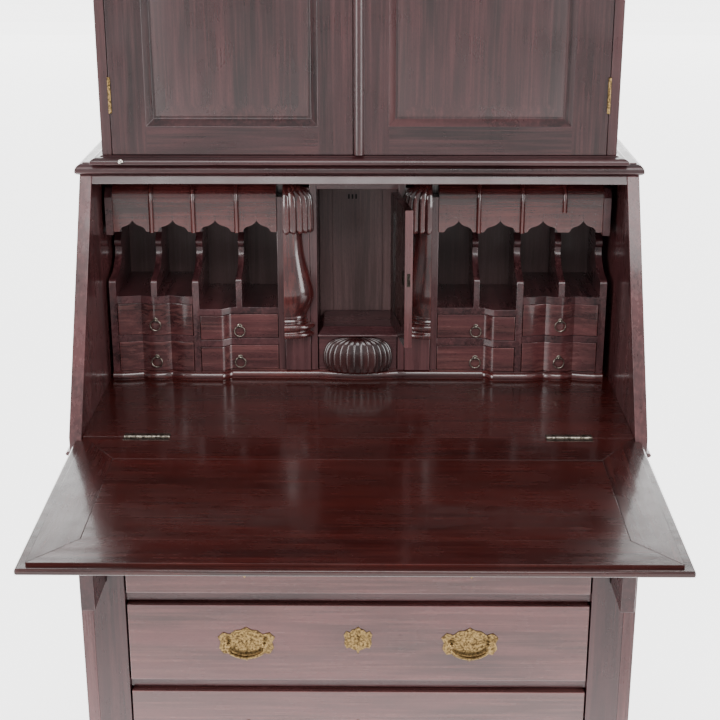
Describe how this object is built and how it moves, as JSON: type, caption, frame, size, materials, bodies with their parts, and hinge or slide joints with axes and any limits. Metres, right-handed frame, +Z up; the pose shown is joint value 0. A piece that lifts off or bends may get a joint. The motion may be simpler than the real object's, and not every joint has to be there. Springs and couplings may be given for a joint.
{
  "type": "secretary desk",
  "caption": "Slant-front mahogany desk, fall board open on pull-out lopers, with a fitted gallery of pigeonholes and small drawers, long drawers below and a bookcase on top.",
  "frame": {"origin": "centre of the footprint of the whole box, on the floor, with the fall board open", "axes": "+X to the user's right, +Y from the front to the back, +Z up"},
  "size_m": [1.016, 0.9504, 2.1],
  "materials": {
    "case_mahogany": "dark stained mahogany, satin lacquer",
    "writing_mahogany": "dark stained mahogany, polished lacquer",
    "front_mahogany": "reddish flamed mahogany, polished lacquer",
    "interior_mahogany": "dark stained wood, matt lacquer",
    "ring_metal": "worn nickel plate"
  },
  "bodies": {
    "case": {"case_side_right": "case_mahogany", "case_side_left": "case_mahogany", "case_back": "case_mahogany", "case_base": "case_mahogany", "desk_top": "case_mahogany", "slant_rail": "case_mahogany", "writing_board": "writing_mahogany", "loper_stile_right": "case_mahogany", "loper_stile_left": "case_mahogany", "dust_board_1": "interior_mahogany", "dust_board_2": "interior_mahogany", "dust_board_3": "interior_mahogany", "gallery_base": "case_mahogany", "pigeonhole_frame_outer_right": "interior_mahogany", "pigeonhole_frame_outer_left": "interior_mahogany", "pigeonhole_frame_inner_right": "interior_mahogany", "pigeonhole_frame_inner_left": "interior_mahogany", "column_upright_right": "interior_mahogany", "column_upright_left": "interior_mahogany", "prospect_jamb_right": "interior_mahogany", "prospect_jamb_left": "interior_mahogany", "valance_right": "case_mahogany", "valance_left": "case_mahogany", "prospect_floor": "interior_mahogany", "prospect_header": "interior_mahogany", "document_column_right": "front_mahogany", "bookcase_bottom": "case_mahogany", "bookcase_side_right": "case_mahogany", "bookcase_side_left": "case_mahogany", "bookcase_back": "interior_mahogany", "bookcase_shelf": "interior_mahogany", "bookcase_cornice": "case_mahogany"},
    "fall": {"fall_board": "writing_mahogany"},
    "loper_right": {"loper_right": "case_mahogany"},
    "loper_left": {"loper_left": "case_mahogany"},
    "prospect_door": {"prospect_door": "front_mahogany"},
    "shell_drawer": {"shell_drawer": "front_mahogany"},
    "document_column": {"document_column_left": "front_mahogany"},
    "small_drawer_outer_upper_right": {"small_drawer_outer_upper_right": "front_mahogany"},
    "pull_ring_outer_upper_right": {"pull_ring_outer_upper_right": "ring_metal"},
    "small_drawer_outer_lower_right": {"small_drawer_outer_lower_right": "front_mahogany"},
    "pull_ring_outer_lower_right": {"pull_ring_outer_lower_right": "ring_metal"},
    "small_drawer_inner_upper_right": {"small_drawer_inner_upper_right": "front_mahogany"},
    "pull_ring_inner_upper_right": {"pull_ring_inner_upper_right": "ring_metal"},
    "small_drawer_inner_lower_right": {"small_drawer_inner_lower_right": "front_mahogany"},
    "pull_ring_inner_lower_right": {"pull_ring_inner_lower_right": "ring_metal"},
    "small_drawer_outer_upper_left": {"small_drawer_outer_upper_left": "front_mahogany"},
    "pull_ring_outer_upper_left": {"pull_ring_outer_upper_left": "ring_metal"},
    "small_drawer_outer_lower_left": {"small_drawer_outer_lower_left": "front_mahogany"},
    "pull_ring_outer_lower_left": {"pull_ring_outer_lower_left": "ring_metal"},
    "small_drawer_inner_upper_left": {"small_drawer_inner_upper_left": "front_mahogany"},
    "pull_ring_inner_upper_left": {"pull_ring_inner_upper_left": "ring_metal"},
    "small_drawer_inner_lower_left": {"small_drawer_inner_lower_left": "front_mahogany"},
    "pull_ring_inner_lower_left": {"pull_ring_inner_lower_left": "ring_metal"},
    "long_drawer_1": {"long_drawer_1": "front_mahogany"},
    "long_drawer_2": {"long_drawer_2": "front_mahogany"},
    "long_drawer_3": {"long_drawer_3": "front_mahogany"},
    "long_drawer_4": {"long_drawer_4": "front_mahogany"},
    "bookcase_door_right": {"bookcase_door_right": "case_mahogany"},
    "bookcase_door_left": {"bookcase_door_left": "case_mahogany"}
  },
  "joints": [
    {"name": "fall_hinge", "type": "hinge", "parent": "case", "child": "fall", "pos_m": [0, -0.01004, 0.77], "axis": [-1, 0, 0], "range_deg": [0, 121.1]},
    {"name": "loper_right_slide", "type": "slide", "parent": "case", "child": "loper_right", "axis": [0, 1, 0], "range_m": [0, 0.108]},
    {"name": "loper_left_slide", "type": "slide", "parent": "case", "child": "loper_left", "axis": [0, 1, 0], "range_m": [0, 0.108]},
    {"name": "prospect_door_hinge", "type": "hinge", "parent": "case", "child": "prospect_door", "pos_m": [0.0719, 0.28169, 1], "axis": [0, 0, -1], "range_deg": [0, 99]},
    {"name": "shell_drawer_slide", "type": "slide", "parent": "case", "child": "shell_drawer", "axis": [0, 1, 0], "range_m": [-0.1, 0]},
    {"name": "document_column_slide", "type": "slide", "parent": "case", "child": "document_column", "axis": [0, 1, 0], "range_m": [-0.13, 0]},
    {"name": "small_drawer_outer_upper_right_slide", "type": "slide", "parent": "case", "child": "small_drawer_outer_upper_right", "axis": [0, 1, 0], "range_m": [-0.12, 0]},
    {"name": "pull_ring_outer_upper_right_hinge", "type": "hinge", "parent": "small_drawer_outer_upper_right", "child": "pull_ring_outer_upper_right", "pos_m": [0.38, 0.27999, 0.889], "axis": [-1, 0, 0], "range_deg": [0, 100]},
    {"name": "small_drawer_outer_lower_right_slide", "type": "slide", "parent": "case", "child": "small_drawer_outer_lower_right", "axis": [0, 1, 0], "range_m": [-0.12, 0]},
    {"name": "pull_ring_outer_lower_right_hinge", "type": "hinge", "parent": "small_drawer_outer_lower_right", "child": "pull_ring_outer_lower_right", "pos_m": [0.38, 0.27999, 0.8155], "axis": [-1, 0, 0], "range_deg": [0, 100]},
    {"name": "small_drawer_inner_upper_right_slide", "type": "slide", "parent": "case", "child": "small_drawer_inner_upper_right", "axis": [0, 1, 0], "range_m": [-0.12, 0]},
    {"name": "pull_ring_inner_upper_right_hinge", "type": "hinge", "parent": "small_drawer_inner_upper_right", "child": "pull_ring_inner_upper_right", "pos_m": [0.2215, 0.29399, 0.873], "axis": [-1, 0, 0], "range_deg": [0, 100]},
    {"name": "small_drawer_inner_lower_right_slide", "type": "slide", "parent": "case", "child": "small_drawer_inner_lower_right", "axis": [0, 1, 0], "range_m": [-0.12, 0]},
    {"name": "pull_ring_inner_lower_right_hinge", "type": "hinge", "parent": "small_drawer_inner_lower_right", "child": "pull_ring_inner_lower_right", "pos_m": [0.2215, 0.29399, 0.8105], "axis": [-1, 0, 0], "range_deg": [0, 100]},
    {"name": "small_drawer_outer_upper_left_slide", "type": "slide", "parent": "case", "child": "small_drawer_outer_upper_left", "axis": [0, 1, 0], "range_m": [-0.12, 0]},
    {"name": "pull_ring_outer_upper_left_hinge", "type": "hinge", "parent": "small_drawer_outer_upper_left", "child": "pull_ring_outer_upper_left", "pos_m": [-0.387, 0.27999, 0.889], "axis": [-1, 0, 0], "range_deg": [0, 100]},
    {"name": "small_drawer_outer_lower_left_slide", "type": "slide", "parent": "case", "child": "small_drawer_outer_lower_left", "axis": [0, 1, 0], "range_m": [-0.12, 0]},
    {"name": "pull_ring_outer_lower_left_hinge", "type": "hinge", "parent": "small_drawer_outer_lower_left", "child": "pull_ring_outer_lower_left", "pos_m": [-0.387, 0.27999, 0.8155], "axis": [-1, 0, 0], "range_deg": [0, 100]},
    {"name": "small_drawer_inner_upper_left_slide", "type": "slide", "parent": "case", "child": "small_drawer_inner_upper_left", "axis": [0, 1, 0], "range_m": [-0.12, 0]},
    {"name": "pull_ring_inner_upper_left_hinge", "type": "hinge", "parent": "small_drawer_inner_upper_left", "child": "pull_ring_inner_upper_left", "pos_m": [-0.2285, 0.29399, 0.873], "axis": [-1, 0, 0], "range_deg": [0, 100]},
    {"name": "small_drawer_inner_lower_left_slide", "type": "slide", "parent": "case", "child": "small_drawer_inner_lower_left", "axis": [0, 1, 0], "range_m": [-0.12, 0]},
    {"name": "pull_ring_inner_lower_left_hinge", "type": "hinge", "parent": "small_drawer_inner_lower_left", "child": "pull_ring_inner_lower_left", "pos_m": [-0.2285, 0.29399, 0.8105], "axis": [-1, 0, 0], "range_deg": [0, 100]},
    {"name": "long_drawer_1_slide", "type": "slide", "parent": "case", "child": "long_drawer_1", "axis": [0, 1, 0], "range_m": [-0.33, 0]},
    {"name": "long_drawer_2_slide", "type": "slide", "parent": "case", "child": "long_drawer_2", "axis": [0, 1, 0], "range_m": [-0.33, 0]},
    {"name": "long_drawer_3_slide", "type": "slide", "parent": "case", "child": "long_drawer_3", "axis": [0, 1, 0], "range_m": [-0.33, 0]},
    {"name": "long_drawer_4_slide", "type": "slide", "parent": "case", "child": "long_drawer_4", "axis": [0, 1, 0], "range_m": [-0.33, 0]},
    {"name": "bookcase_door_right_hinge", "type": "hinge", "parent": "case", "child": "bookcase_door_right", "pos_m": [0.4383, 0.21819, 1.6], "axis": [0, 0, -1], "range_deg": [-110, 0]},
    {"name": "bookcase_door_left_hinge", "type": "hinge", "parent": "case", "child": "bookcase_door_left", "pos_m": [-0.4383, 0.21819, 1.6], "axis": [0, 0, 1], "range_deg": [-110, 0]}
  ],
  "couplings": [
    {"joint": "prospect_door_hinge", "follows": "fall_hinge", "ratio": 0.817}
  ]
}
